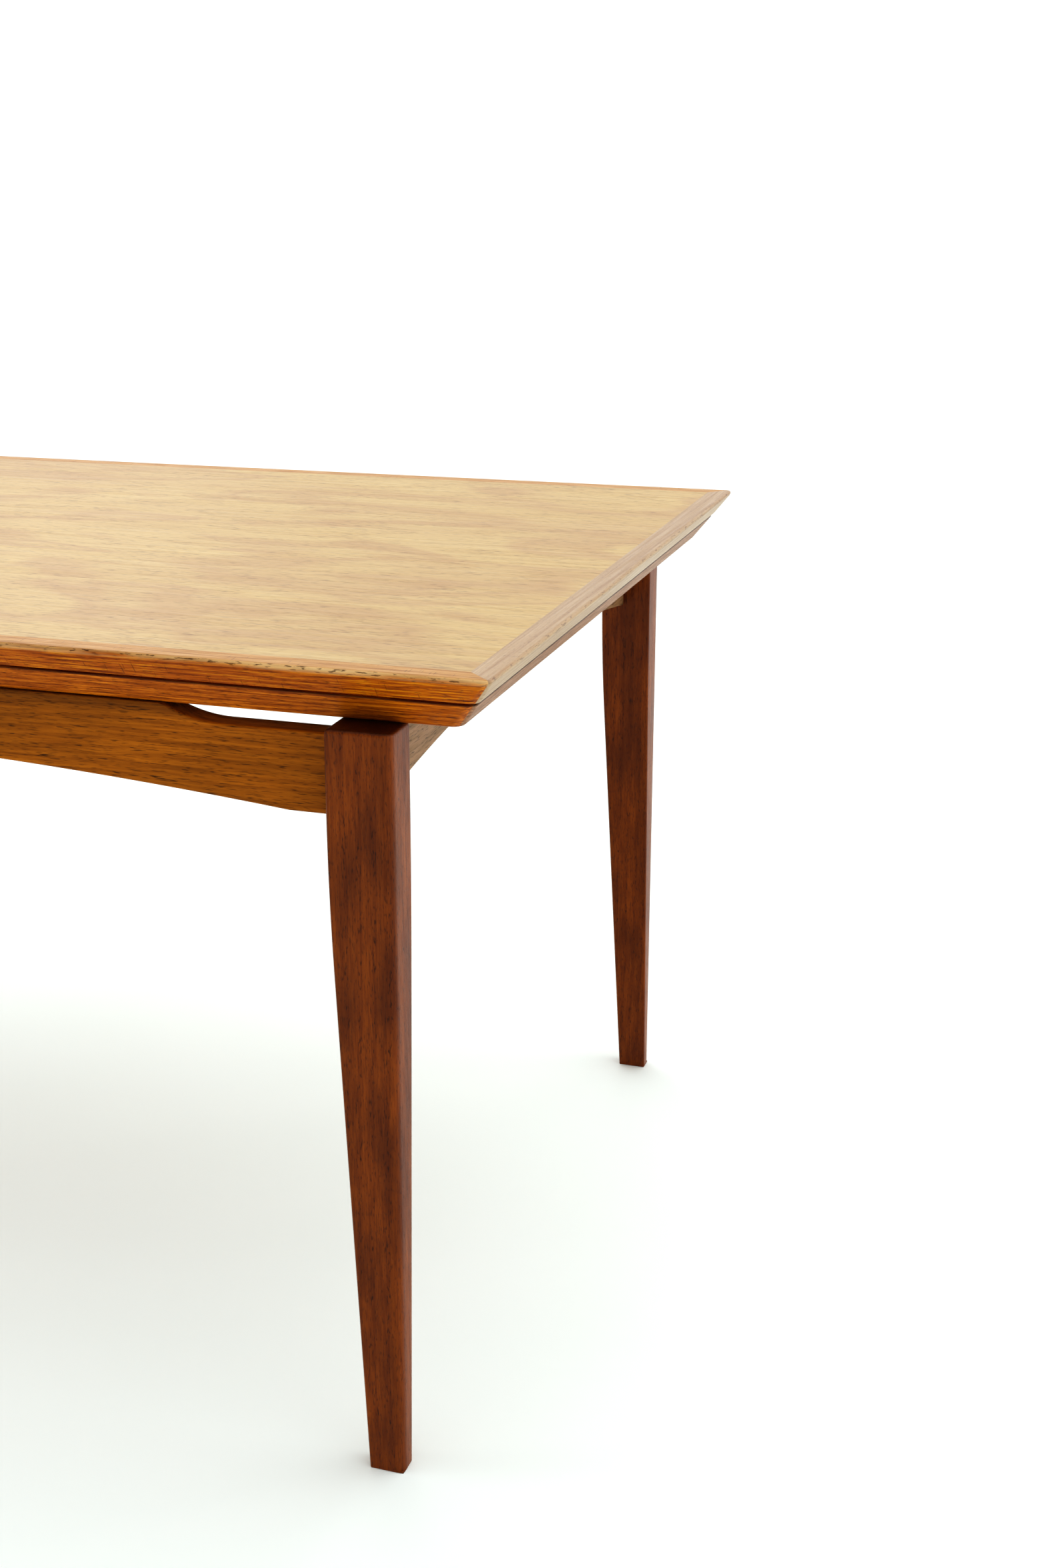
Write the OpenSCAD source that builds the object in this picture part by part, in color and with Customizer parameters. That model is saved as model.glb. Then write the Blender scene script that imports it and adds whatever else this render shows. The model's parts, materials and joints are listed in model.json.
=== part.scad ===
// Draw-leaf dining table: a loose main top over two sliding leaves and a
// fixed centre board, on an apron frame with four tapered legs.
// X runs along the table, Y across it, Z up; the origin is on the floor
// under the middle of the top.

/* [Table] */
// Length of the closed table
table_len = 1400; // [1160:10:1700]
// Width of the table
table_w = 900; // [750:5:1080]
// Height of the main top above the floor
table_h = 730; // [600:5:880]

/* [Top layers] */
// Thickness of the main top
top_t = 24; // [18:0.5:30]
// Thickness of the draw leaves
leaf_t = 24.5; // [18:0.5:30]
// Dark gap between the main top and the leaves
seam = 1.5; // [1.3:0.1:3]
// Inward run of the undercut edge for each millimetre of drop
undercut = 0.77; // [0:0.01:0.8]
// Width of the solid lippings and end bands at their upper face
lip_w = 26; // [24:1:40]
// Width of a leaf's inner lipping at its upper face
inner_lip_w = 12; // [8:1:24]
// Thickness of the face veneers
veneer_t = 0.8; // [0.6:0.1:2]
// Length of the centre board's upper face
centre_len = 358; // [340:2:420]
// Gap between a leaf and the centre board
end_gap = 1.5; // [1:0.1:3]
// Vertical gap between the sliding leaves and the frame
glide_gap = 0.5; // [0.3:0.1:1]

/* [Guide pegs] */
// Diameter of the main top's guide pegs
guide_d = 14; // [10:1:20]
// Length of a guide peg still in the centre board when the top is lifted
guide_hold = 22; // [10:1:40]
// Depth of a guide peg in the main top
guide_sink = 16; // [10:1:20]
// Distance of the guide pegs from the middle
guide_y = 280; // [240:5:300]
// Radial clearance of a guide peg in the centre board
guide_clear = 0.5; // [0.3:0.1:1]
// Height that the main top lifts
lift = 30; // [20:1:40]

/* [Legs] */
// Leg size along the table at the top
leg_x = 57; // [46:1:70]
// Leg size across the table at the top
leg_y = 44; // [42:1:60]
// Foot size along the table
foot_x = 32; // [24:1:42]
// Foot size across the table
foot_y = 22; // [18:1:36]
// Distance from the side apron's lower edge down to the start of the taper
knee_drop = 57; // [25:1:250]
// Radius of the outer vertical corner
leg_r = 9; // [0:1:14]
// Inset of the leg's outer face from the end of the top
leg_inset_x = 86; // [60:1:120]
// Inset of the leg's outer face from the side of the top
leg_inset_y = 6; // [4:1:30]

/* [Aprons] */
// Thickness of the aprons
apron_t = 25; // [16:1:30]
// Distance of the side apron behind the leg's outer face
side_reveal = 30; // [4:1:30]
// Distance of the end apron's inner face out from the leg's inner face
end_setin = 1; // [0:1:30]
// Depth of the side apron at the leg
side_depth = 83; // [78:1:100]
// Depth of the end apron at the leg
end_depth = 83; // [70:1:100]
// Rise of the side apron's arched lower edge
side_rise = 25; // [0:1:30]
// Rise of the end apron's arched lower edge
end_rise = 32; // [0:1:34]
// Straight stretch of the side apron's lower edge beside each leg
arch_land = 45; // [0:5:80]
// Length of the hand slot over the side apron beside each leg
slot_len = 157; // [100:1:180]
// Height of the hand slot
slot_h = 13.5; // [8:0.5:16]
// Radius of the hand slot's curved end
slot_r = 115; // [40:1:150]
// Thickness of the apron tenons
tenon_t = 10; // [8:1:12]
// Length of the side apron tenons
side_tenon = 26; // [10:1:36]
// Length of the end apron tenons
end_tenon = 22; // [10:1:32]

/* [Lopers] */
// Width of a loper
loper_w = 26; // [20:1:32]
// Height of a loper
loper_h = 22; // [18:1:26]
// Mean distance of the lopers from the middle
loper_y = 198; // [120:2:230]
// Spacing of a right loper and a left loper side by side
loper_pitch = 34; // [34:1:60]
// Length of a loper's tail beyond its stop peg
tail_past = 34; // [10:1:60]
// Drop of a loper's tail below the centre board
tail_drop = 1.5; // [1:0.1:3]
// Distance from a loper's outer end to the edge of the leaf's underside
loper_back = 20; // [5:1:60]
// Side and bottom clearance of a loper in its notches
loper_clear = 0.5; // [0.3:0.1:1]
// Diameter of the stop pegs
stop_d = 10; // [8:1:14]
// Length of a stop peg below the loper
stop_drop = 8; // [5:1:10]
// Depth of a stop peg in the loper
stop_sink = 12; // [8:1:16]

/* [Cross rails and blocks] */
// Distance of the cross rails from the middle
rail_x = 140; // [110:2:150]
// Thickness of a cross rail
rail_t = 20; // [16:1:26]
// Depth of a cross rail
rail_h = 54; // [44:1:58]
// Depth of the housing that holds a cross rail's end
rail_housing = 6; // [4:1:10]
// Height of a corner block
block_h = 30; // [20:1:32]
// Reach of a corner block along each apron
block_reach = 83; // [75:1:110]
// Thickness of a corner block across its diagonal, along each apron
block_run = 40; // [30:1:60]
// Thickness of the felt strips
felt_t = 1.2; // [0.6:0.1:1.4]
// Width of the felt strips
felt_w = 22; // [10:1:40]

/* [Screws] */
// Shank diameter of the wood screws
screw_d = 4; // [3:0.5:5]
// Head diameter of the wood screws
screw_head_d = 8; // [6:0.5:10]
// Height of a screw's head
screw_head_h = 3; // [2:0.5:4]
// Depth of a screw's thread in the far piece
screw_bite = 12; // [8:1:16]

/* [Hidden] */
$fn = 64;
far = 2000;

half_l = table_len / 2;
half_w = table_w / 2;
seam_z = table_h - top_t;
leaf_z = seam_z - seam;
under_z = leaf_z - leaf_t;
frame_z = under_z - glide_gap;

// Inward distance of the undercut edge at height z
function inset(z) = (table_h - z) * undercut;

// Inner line of the lippings round a layer with its upper face at height z
function inner_x(z) = half_l - inset(z) - lip_w;
function inner_y(z) = half_w - inset(z) - lip_w;

// Leaf, centre board and travel along X
centre_x = centre_len / 2;
leaf_x = centre_x + end_gap;
leaf_under_x = leaf_x - leaf_t * undercut;
leaf_travel = half_l + end_gap - leaf_x;

// Leg faces
leg_out_x = half_l - leg_inset_x;
leg_out_y = half_w - leg_inset_y;
leg_in_x = leg_out_x - leg_x;
leg_in_y = leg_out_y - leg_y;
leg_top = frame_z;
knee_soft = 20;
knee_cut = 0.7;

// Apron faces
side_out_y = leg_out_y - side_reveal;
side_in_y = side_out_y - apron_t;
end_in_x = leg_in_x + end_setin;
end_out_x = end_in_x + apron_t;
side_low_z = under_z - side_depth;
end_low_z = under_z - end_depth;
slot_z = under_z - slot_h;
slot_run = sqrt(2 * slot_r * slot_h - slot_h * slot_h);
slot_x = leg_in_x - slot_len + slot_run;
knee_z = side_low_z - knee_drop;

// Tenons: the side ones pass below the end ones inside a leg
tenon_shoulder = 8;
tenon_cheek = 2;
tenon_wall = 2;
tenon_split_z = (side_low_z + slot_z) / 2;
tenon_side_y = side_out_y - tenon_cheek - tenon_t;
tenon_end_x = end_out_x - (apron_t + tenon_t) / 2;

// Lopers, their notches and stops
loper_ys = [loper_y + loper_pitch / 2, loper_pitch / 2 - loper_y];
loper_z = under_z - loper_h;
loper_end_x = half_l - inset(under_z) - loper_back;
loper_seat_x = leaf_under_x + 3;
stop_x = rail_x - (rail_t + stop_d) / 2 - loper_clear - leaf_travel;
loper_tail_x = stop_x - tail_past;
loper_nose = 10;
screw_end = 60;
screw_xs = [leaf_x + screw_end, (leaf_x + end_in_x) / 2, end_in_x - screw_end];
loper_screw = loper_h - screw_head_h + screw_bite;

// Cross rails
rail_screw_end = 56;
rail_ys = [-1, -0.25, 0.25, 1] * (side_in_y - rail_screw_end);
rail_low_z = frame_z - rail_h;
rail_bore = rail_h / 2;
rail_screw = rail_h - rail_bore + screw_bite;

// Guide pegs
guide_drop = lift + guide_hold;
guide_hole = guide_d + 2 * guide_clear;

// Corner blocks
block_below_slot = 18;
block_z = slot_z - block_below_slot - block_h;
block_screw_z = block_z + block_h / 2;
block_screw_off = block_reach - block_run * 0.65;
block_screw = block_run / 2 + screw_bite;

// ---- Helpers ----

// Places a front-right piece at the corner given by the two signs
module corner(sx, sy) {
    mirror([sx < 0 ? 1 : 0, 0, 0]) mirror([0, sy > 0 ? 1 : 0, 0]) children();
}

// A box from its low corner to its high corner
module block(low, high) {
    translate(low) cube(high - low);
}

// Extrudes an outline drawn in X and Z from y0 to y1
module along_y(y0, y1) {
    translate([0, y1, 0]) rotate([90, 0, 0]) linear_extrude(y1 - y0) children();
}

// Extrudes an outline drawn in Y and Z from x0 to x1
module along_x(x0, x1) {
    translate([x0, 0, 0]) rotate([90, 0, 90]) linear_extrude(x1 - x0) children();
}

// Undercut cross-section between two heights
module undercut_section(half, z0, z1) {
    low = half - inset(z0);
    high = half - inset(z1);
    polygon([[-low, z0], [low, z0], [high, z1], [-high, z1]]);
}

// Slab with the undercut outline on all four sides
module slab(z0, z1) {
    intersection() {
        along_y(-half_w, half_w) undercut_section(half_l, z0, z1);
        along_x(-half_l, half_l) undercut_section(half_w, z0, z1);
    }
}

// Front lipping over the whole length of a layer, mitred at both ends
module side_lipping(z0, z1) {
    mitre = half_w / 2;
    intersection() {
        slab(z0, z1);
        block([-half_l, -half_w, z0], [half_l, -inner_y(z1), z1]);
        translate([0, 0, z0])
            linear_extrude(z1 - z0)
                polygon([
                    [-half_l, -half_w], [half_l, -half_w],
                    [half_l - mitre, mitre - half_w], [mitre - half_l, mitre - half_w]
                ]);
    }
}

// Right end band of a layer, between the mitres of the side lippings
module end_band(z0, z1) {
    difference() {
        intersection() {
            slab(z0, z1);
            block([inner_x(z1), -half_w, z0], [half_l, half_w, z1]);
        }
        side_lipping(z0, z1);
        mirror([0, 1, 0]) side_lipping(z0, z1);
    }
}

// Field of a layer between its side lippings, with its upper face at height top
module field(x0, x1, z0, z1, top) {
    block([x0, -inner_y(top), z0], [x1, inner_y(top), z1]);
}

// Length of a leaf from its slanted inner end outwards
module leaf_span() {
    along_y(-half_w, half_w)
        polygon([[leaf_x, leaf_z], [half_l, leaf_z], [half_l, under_z], [leaf_under_x, under_z]]);
}

// Length of the centre board: its ends follow the slant of the leaves
module centre_span() {
    low = centre_x - (leaf_z - frame_z) * undercut;
    along_y(-half_w, half_w)
        polygon([[-low, frame_z], [low, frame_z], [centre_x, leaf_z], [-centre_x, leaf_z]]);
}

// Wood screw along +Z, its head's underside at the origin
module screw(reach) {
    cylinder(d = screw_d, h = reach);
    translate([0, 0, -screw_head_h]) cylinder(d = screw_head_d, h = screw_head_h);
}

// Hole that takes the screw above, with its head's recess below
module screw_hole(reach, recess) {
    cylinder(d = screw_d, h = reach);
    translate([0, 0, -recess]) cylinder(d = screw_head_d, h = recess);
}

// Room that the right leaf's lopers need; dip is extra depth for a stop peg
module loper_way(dip) {
    side = loper_w / 2 + loper_clear;
    for (y = loper_ys)
        block([-far, y - side, loper_z - loper_clear - dip], [far, y + side, table_h]);
}

// ---- Legs and aprons ----

// Leg side view: straight at the top, tapered on the inner face only
module leg_profile(out, size, foot) {
    polygon([
        [out, 0], [out, leg_top], [out - size, leg_top], [out - size, knee_z + knee_soft],
        [out - size + knee_cut, knee_z - knee_soft], [out - foot, 0]
    ]);
}

// Leg plan with its outer corner rounded
module leg_plan() {
    translate([leg_in_x, -leg_out_y]) {
        translate([0, leg_r]) square([leg_x, leg_y - leg_r]);
        square([leg_x - leg_r, leg_y]);
        translate([leg_x - leg_r, leg_r]) circle(leg_r);
    }
}

module leg() {
    difference() {
        intersection() {
            along_y(-leg_out_y, -leg_in_y) leg_profile(leg_out_x, leg_x, foot_x);
            along_x(leg_in_x, leg_out_x) mirror([1, 0]) leg_profile(leg_out_y, leg_y, foot_y);
            linear_extrude(leg_top) leg_plan();
        }
        side_tenon_piece();
        end_tenon_piece();
    }
}

module side_tenon_piece() {
    block([leg_in_x, -tenon_side_y - tenon_t, side_low_z + tenon_shoulder],
          [leg_in_x + side_tenon, -tenon_side_y, tenon_split_z - tenon_wall / 2]);
}

module end_tenon_piece() {
    block([tenon_end_x, -leg_in_y - end_tenon, tenon_split_z + tenon_wall / 2],
          [tenon_end_x + tenon_t, -leg_in_y, leg_top - tenon_shoulder]);
}

// Lower edge of an arch: a land beside each leg, and a parabola between them
function arch_points(half, land, low, rise, n = 32) = concat(
    land > 0 ? [[-half, low]] : [],
    [for (i = [0:n]) let (t = 2 * i / n - 1) [t * (half - land), low + rise * (1 - t * t)]],
    land > 0 ? [[half, low]] : []
);

// Hand slot: curved inner end, open towards the leg
module slot_outline() {
    n = 12;
    start = asin(slot_run / slot_r);
    polygon(concat(
        [[leg_in_x + leg_x, slot_z]],
        [for (i = [0:n]) let (a = start * i / n)
            [slot_x - slot_r * sin(a), slot_z + slot_r * (1 - cos(a))]],
        [[slot_x - slot_run, table_h], [leg_in_x + leg_x, table_h]]
    ));
}

// Cross rail shape in plan and height, used for the rail and its housings
module rail_bar() {
    reach = side_in_y + rail_housing;
    block([rail_x - rail_t / 2, -reach, rail_low_z], [rail_x + rail_t / 2, reach, frame_z]);
}

module side_apron() {
    difference() {
        along_y(-side_out_y, -side_in_y)
            difference() {
                polygon(concat(
                    arch_points(leg_in_x, arch_land, side_low_z, side_rise),
                    [[leg_in_x, frame_z], [-leg_in_x, frame_z]]
                ));
                slot_outline();
                mirror([1, 0]) slot_outline();
            }
        rail_bar();
        mirror([1, 0, 0]) rail_bar();
        for (sx = [-1, 1]) corner(sx, -1) block_screw_hole_side();
    }
    side_tenon_piece();
    mirror([1, 0, 0]) side_tenon_piece();
}

module end_apron() {
    difference() {
        along_x(end_in_x, end_out_x)
            polygon(concat(
                arch_points(leg_in_y, 0, end_low_z, end_rise),
                [[leg_in_y, frame_z], [-leg_in_y, frame_z]]
            ));
        loper_way(0);
        for (sy = [-1, 1]) corner(1, sy) block_screw_hole_end();
    }
    end_tenon_piece();
    mirror([0, 1, 0]) end_tenon_piece();
}

// ---- Corner blocks ----

module place_block_screw_end() {
    translate([end_in_x - block_run / 2, block_screw_off - side_in_y, block_screw_z])
        rotate([0, 90, 0]) children();
}

module place_block_screw_side() {
    translate([end_in_x - block_screw_off, block_run / 2 - side_in_y, block_screw_z])
        rotate([90, 0, 0]) children();
}

module block_screw_hole_end() {
    place_block_screw_end() screw_hole(block_screw, block_run);
}

module block_screw_hole_side() {
    place_block_screw_side() screw_hole(block_screw, block_run);
}

module corner_block() {
    inner = block_reach - block_run;
    difference() {
        translate([end_in_x, -side_in_y, block_z])
            linear_extrude(block_h)
                polygon([[0, inner], [0, block_reach], [-block_reach, 0], [-inner, 0]]);
        block_screw_hole_end();
        block_screw_hole_side();
    }
}

module corner_block_screws() {
    for (sx = [-1, 1], sy = [-1, 1])
        corner(sx, sy) {
            place_block_screw_end() screw(block_screw);
            place_block_screw_side() screw(block_screw);
        }
}

// ---- Cross rails ----

module place_rail_screws() {
    for (y = rail_ys) translate([rail_x, y, rail_low_z + rail_bore]) children();
}

module cross_rail() {
    difference() {
        rail_bar();
        loper_way(0);
        rotate([0, 0, 180]) loper_way(stop_drop + loper_clear);
        place_rail_screws() screw_hole(rail_h, rail_h);
    }
}

module rail_screws() {
    place_rail_screws() screw(rail_screw);
}

// ---- Centre board ----

module centre_core() {
    difference() {
        intersection() {
            centre_span();
            field(-centre_x, centre_x, frame_z, leaf_z - veneer_t, leaf_z);
        }
        for (s = [-1, 1])
            translate([0, s * guide_y, 0]) cylinder(d = guide_hole, h = table_h);
        for (turn = [0, 180]) rotate([0, 0, turn])
            place_rail_screws() cylinder(d = screw_d, h = rail_screw);
    }
}

module centre_veneer() {
    difference() {
        intersection() {
            centre_span();
            field(-centre_x, centre_x, leaf_z - veneer_t, leaf_z, leaf_z);
        }
        for (s = [-1, 1])
            translate([0, s * guide_y, 0]) cylinder(d = guide_hole, h = table_h);
    }
}

module centre_lipping() {
    intersection() {
        centre_span();
        side_lipping(frame_z, leaf_z);
    }
}

module felt_strips() {
    reach = guide_y - guide_d;
    for (s = [-1, 1])
        block([s * (centre_x - 2 * felt_w) - felt_w / 2, -reach, leaf_z],
              [s * (centre_x - 2 * felt_w) + felt_w / 2, reach, leaf_z + felt_t]);
}

// ---- Main top ----

module top_core() {
    difference() {
        field(-inner_x(table_h), inner_x(table_h), seam_z, table_h - veneer_t, table_h);
        guide_pegs();
    }
}

module top_veneer() {
    field(-inner_x(table_h), inner_x(table_h), table_h - veneer_t, table_h, table_h);
}

module guide_pegs() {
    for (s = [-1, 1])
        translate([0, s * guide_y, seam_z - guide_drop])
            cylinder(d = guide_d, h = guide_drop + guide_sink);
}

// ---- Draw leaf, right ----

module leaf_core() {
    difference() {
        field(leaf_x + inner_lip_w, inner_x(leaf_z), under_z, leaf_z - veneer_t, leaf_z);
        place_loper_screws() cylinder(d = screw_d, h = loper_screw);
    }
}

module leaf_veneer() {
    field(leaf_x + inner_lip_w, inner_x(leaf_z), leaf_z - veneer_t, leaf_z, leaf_z);
}

module leaf_lipping() {
    intersection() {
        leaf_span();
        side_lipping(under_z, leaf_z);
    }
}

module leaf_inner_lipping() {
    intersection() {
        leaf_span();
        field(0, leaf_x + inner_lip_w, under_z, leaf_z, leaf_z);
    }
}

module place_loper_screws() {
    for (x = screw_xs, y = loper_ys) translate([x, y, loper_z + screw_head_h]) children();
}

// Loper at distance y: full height under the leaf, lower along its tail
module loper(y) {
    difference() {
        along_y(y - loper_w / 2, y + loper_w / 2)
            polygon([
                [loper_tail_x, loper_z], [loper_end_x - loper_nose, loper_z],
                [loper_end_x, loper_z + loper_nose], [loper_end_x, under_z],
                [loper_seat_x, under_z], [loper_seat_x, frame_z - tail_drop],
                [loper_tail_x, frame_z - tail_drop]
            ]);
        place_loper_screws() screw_hole(loper_h, loper_h);
        stop_pegs();
    }
}

module stop_pegs() {
    for (y = loper_ys)
        translate([stop_x, y, loper_z - stop_drop]) cylinder(d = stop_d, h = stop_drop + stop_sink);
}

module loper_screws() {
    place_loper_screws() screw(loper_screw);
}

// ---- Sub-parts in their places ----

module leg_piece(sx, sy) color("#7a4526") corner(sx, sy) leg();
module side_apron_piece(sy) color("#8a5428") corner(1, sy) side_apron();
module end_apron_right() color("#8a5428") end_apron();
module end_apron_left() color("#8a5428") rotate([0, 0, 180]) end_apron();
module corner_block_piece(sx, sy) color("#c9a671") corner(sx, sy) corner_block();
module corner_block_screw_group() color("silver") corner_block_screws();
module cross_rail_right() color("#c9a671") cross_rail();
module cross_rail_left() color("#c9a671") rotate([0, 0, 180]) cross_rail();
module cross_rail_screws() color("silver") for (turn = [0, 180]) rotate([0, 0, turn]) rail_screws();
module centre_core_piece() color("#8f5a2e") centre_core();
module centre_veneer_piece() color("#c98a4a") centre_veneer();
module centre_lipping_piece(sy) color("#a9602a") corner(1, sy) centre_lipping();
module felt_strip_pair() color("#3f5a3a") felt_strips();

module top_core_piece() color("#8f5a2e") top_core();
module top_veneer_piece() color("#d9b47a") top_veneer();
module top_lipping_piece(sy) color("#b8702e") corner(1, sy) side_lipping(seam_z, table_h);
module top_end_band_piece(sx) color("#cfa37e") corner(sx, -1) end_band(seam_z, table_h);
module guide_peg_pair() color("#d8bd8c") guide_pegs();

module leaf_core_piece() color("#8f5a2e") leaf_core();
module leaf_veneer_piece() color("#c98a4a") leaf_veneer();
module leaf_lipping_piece(sy) color("#a9602a") corner(1, sy) leaf_lipping();
module leaf_end_band_piece() color("#b3713c") end_band(under_z, leaf_z);
module leaf_inner_lipping_piece() color("#b3713c") leaf_inner_lipping();
module loper_piece(y) color("#c9a671") loper(y);
module stop_peg_pair() color("#d8bd8c") stop_pegs();
module loper_screw_group() color("silver") loper_screws();

// The left leaf is the right leaf turned end for end
module turned() rotate([0, 0, 180]) children();

leg_piece(1, -1);  // leg_front_right
leg_piece(-1, -1);  // leg_front_left
leg_piece(1, 1);  // leg_back_right
leg_piece(-1, 1);  // leg_back_left
side_apron_piece(-1);  // side_apron_front
side_apron_piece(1);  // side_apron_back
end_apron_right();
end_apron_left();
corner_block_piece(1, -1);  // corner_block_front_right
corner_block_piece(-1, -1);  // corner_block_front_left
corner_block_piece(1, 1);  // corner_block_back_right
corner_block_piece(-1, 1);  // corner_block_back_left
corner_block_screw_group();  // corner_block_screws
cross_rail_right();
cross_rail_left();
cross_rail_screws();
centre_core_piece();  // centre_core
centre_veneer_piece();  // centre_veneer
centre_lipping_piece(-1);  // centre_lipping_front
centre_lipping_piece(1);  // centre_lipping_back
felt_strip_pair();  // felt_strips
top_core_piece();  // top_core
top_veneer_piece();  // top_veneer
top_lipping_piece(-1);  // top_lipping_front
top_lipping_piece(1);  // top_lipping_back
top_end_band_piece(1);  // top_end_band_right
top_end_band_piece(-1);  // top_end_band_left
guide_peg_pair();  // guide_pegs
leaf_core_piece();  // leaf_right_core
leaf_veneer_piece();  // leaf_right_veneer
leaf_lipping_piece(-1);  // leaf_right_lipping_front
leaf_lipping_piece(1);  // leaf_right_lipping_back
leaf_end_band_piece();  // leaf_right_end_band
leaf_inner_lipping_piece();  // leaf_right_inner_lipping
loper_piece(loper_ys[1]);  // leaf_right_loper_front
loper_piece(loper_ys[0]);  // leaf_right_loper_back
stop_peg_pair();  // leaf_right_stop_pegs
loper_screw_group();  // leaf_right_screws
turned() leaf_core_piece();  // leaf_left_core
turned() leaf_veneer_piece();  // leaf_left_veneer
turned() leaf_lipping_piece(1);  // leaf_left_lipping_front
turned() leaf_lipping_piece(-1);  // leaf_left_lipping_back
turned() leaf_end_band_piece();  // leaf_left_end_band
turned() leaf_inner_lipping_piece();  // leaf_left_inner_lipping
turned() loper_piece(loper_ys[0]);  // leaf_left_loper_front
turned() loper_piece(loper_ys[1]);  // leaf_left_loper_back
turned() stop_peg_pair();  // leaf_left_stop_pegs
turned() loper_screw_group();  // leaf_left_screws
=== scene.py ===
# Draw-leaf dining table in teak: loose main top, two sliding leaves, tapered legs
import json
import math

import bmesh
import bpy
from mathutils import Matrix, Vector


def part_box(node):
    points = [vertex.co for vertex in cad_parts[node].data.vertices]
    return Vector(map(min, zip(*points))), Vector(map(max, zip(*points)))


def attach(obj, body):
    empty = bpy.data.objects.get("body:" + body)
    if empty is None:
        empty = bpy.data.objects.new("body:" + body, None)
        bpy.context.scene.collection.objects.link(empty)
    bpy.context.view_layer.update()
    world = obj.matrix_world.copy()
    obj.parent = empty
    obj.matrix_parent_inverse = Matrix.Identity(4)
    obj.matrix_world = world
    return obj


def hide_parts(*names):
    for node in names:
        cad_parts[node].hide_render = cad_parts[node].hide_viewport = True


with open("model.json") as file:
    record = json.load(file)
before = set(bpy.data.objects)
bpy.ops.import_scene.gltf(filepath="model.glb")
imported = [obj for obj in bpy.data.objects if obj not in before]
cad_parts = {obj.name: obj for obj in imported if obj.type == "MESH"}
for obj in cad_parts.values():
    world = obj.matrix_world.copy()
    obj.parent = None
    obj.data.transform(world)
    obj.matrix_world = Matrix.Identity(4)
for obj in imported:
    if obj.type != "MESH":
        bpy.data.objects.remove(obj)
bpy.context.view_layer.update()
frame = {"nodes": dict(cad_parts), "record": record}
mm = 0.001
bodies = {n: b for b, names in frame["record"]["behaviour"]["bodies"].items() for n in names}
slots = {part["node"]: part["material_slot"] for part in frame["record"]["subparts"]}
print("frame loaded:", len(frame["nodes"]), "nodes")


cameraSetup = {
    "place": (1.1707, -1.8888, 1.1346),  # metres, off the right front corner
    "turn": 19.73,  # degrees to the left of straight ahead
    "tilt": 17.51,  # degrees down
    "roll": -0.65,
    "lens": 47.35,  # mm, on 36 mm of picture height
    "shift": (0.0545, -0.0058),
}

lightSetup = {
    "backdrop": 1.0,  # what the camera sees behind the table: plain white
    "windowSide": (0.3, 0.75, 0.6),  # the studio is bright behind and above
    "dim": 0.3,
    "bright": 0.95,
    "turnOver": 0.7,  # cosine from the window side at which the light is whole, and dimmest behind it
    "softbox": {"place": (-2.2, 2.6, 2.9), "aim": (0.0, 0.0, 0.6), "size": 2.4, "watts": 12},
    "leftbox": {"place": (-3.0, -1.6, 1.3), "aim": (0.55, -0.44, 0.4), "size": 0.9, "watts": 9},
    "sidebox": {"place": (3.4, 0.9, 1.5), "aim": (0.6, 0.0, 0.5), "size": 1.8, "watts": 9},
}

floorSetup = {
    "radius": 14.0,
    "pale": "#F4FCFA", "shade": "#EFF8F5", "patches": 1.3,  # patches to the metre
    "roughness": 0.6,
    "glow": 0.07,  # a faint light of its own, so that the floor stays nearly white
}


def linear(hexColour):
    # sRGB hex to the linear colour a shader takes
    values = [int(hexColour[i:i + 2], 16) / 255 for i in (1, 3, 5)]
    return [v / 12.92 if v < 0.04045 else ((v + 0.055) / 1.055) ** 2.4 for v in values] + [1.0]


def add(tree, kind, inputs=None, stops=None, **settings):
    # a node with its settings; an input is a value, an output, or a node for its first output in use,
    # and the first two stops are the ones that a new ramp already has
    made = tree.nodes.new("ShaderNode" + kind)
    for name, value in settings.items():
        setattr(made, name, value)
    for key, value in (inputs or {}).items():
        if isinstance(value, bpy.types.Node):
            value = next(output for output in value.outputs if output.enabled)
        if isinstance(value, bpy.types.NodeSocket):
            tree.links.new(value, made.inputs[key])
        else:
            made.inputs[key].default_value = value
    for place, (position, colour) in enumerate(stops or []):
        points = made.color_ramp.elements
        point = points[place] if place < 2 else points.new(position)
        point.position = position
        point.color = colour if isinstance(colour, list) else (colour, colour, colour, 1)
    return made


def emptyMaterial(name):
    material = bpy.data.materials.new(name)
    material.use_nodes = True
    material.node_tree.nodes.clear()
    return material, material.node_tree


def placeCamera():
    data = bpy.data.cameras.new("camera")
    data.lens = cameraSetup["lens"]
    data.sensor_width = 36
    data.shift_x, data.shift_y = cameraSetup["shift"]
    data.clip_end = 60
    camera = bpy.data.objects.new("camera", data)
    bpy.context.scene.collection.objects.link(camera)
    turn, tilt, roll = (math.radians(cameraSetup[k]) for k in ("turn", "tilt", "roll"))
    camera.matrix_world = (
        Matrix.Translation(cameraSetup["place"])
        @ Matrix.Rotation(turn, 4, "Z")
        @ Matrix.Rotation(math.pi / 2 - tilt, 4, "X")
        @ Matrix.Rotation(roll, 4, "Z")
    )
    bpy.context.scene.camera = camera


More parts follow.
